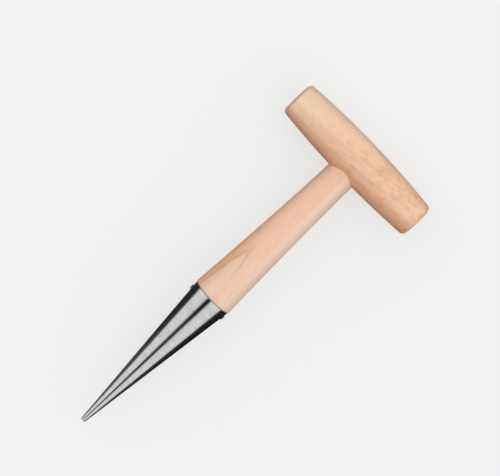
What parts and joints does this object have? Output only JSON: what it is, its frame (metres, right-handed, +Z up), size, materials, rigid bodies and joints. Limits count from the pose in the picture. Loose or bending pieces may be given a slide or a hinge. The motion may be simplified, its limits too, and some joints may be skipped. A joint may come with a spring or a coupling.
{
  "type": "dibber",
  "caption": "T-handled garden dibber: barrel-turned wooden crossbar on a tapered wooden shaft with a nailed-on steel cone, for pressing planting holes in soil.",
  "frame": {"origin": "on the surface that the tool lies on, under the middle of its box", "axes": "+X along the shaft from the point to the crossbar, +Y along the crossbar, +Z up from the surface that the tool lies on"},
  "size_m": [0.264, 0.112, 0.03],
  "materials": {
    "wood": "pale fine-grained hardwood, turned, sanded and lightly oiled",
    "cone_steel": "sheet steel, polished on the lathe, with fine marks round the cone",
    "nail_steel": "bright round-headed nail",
    "glue": "cured wood glue"
  },
  "bodies": {
    "root": {"cross_handle": "wood", "shaft": "wood", "tip_cone": "cone_steel", "left_nail": "nail_steel", "right_nail": "nail_steel", "tenon_glue": "glue"}
  },
  "joints": []
}
